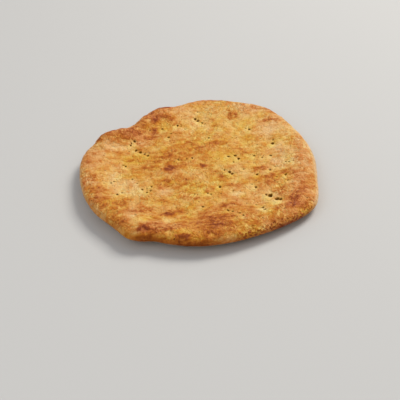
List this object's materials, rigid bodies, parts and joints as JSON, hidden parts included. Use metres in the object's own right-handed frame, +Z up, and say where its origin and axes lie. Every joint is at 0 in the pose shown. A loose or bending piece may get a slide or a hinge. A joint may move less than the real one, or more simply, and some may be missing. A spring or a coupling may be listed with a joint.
{
  "type": "naan bread",
  "caption": "Flat leavened bread, hand-stretched, with a rounded puffed rim and a pricked middle; it lies flat on its underside.",
  "frame": {"origin": "on the surface the bread rests on, under the middle of its outline", "axes": "+Z up through the thickness, +Y along the longest way of the bread, +X across it"},
  "size_m": [0.219, 0.245, 0.0207],
  "materials": {
    "crust": "matte baked crust, golden yellow with brown patches"
  },
  "bodies": {
    "root": {"naan_bread": "crust"}
  },
  "joints": []
}
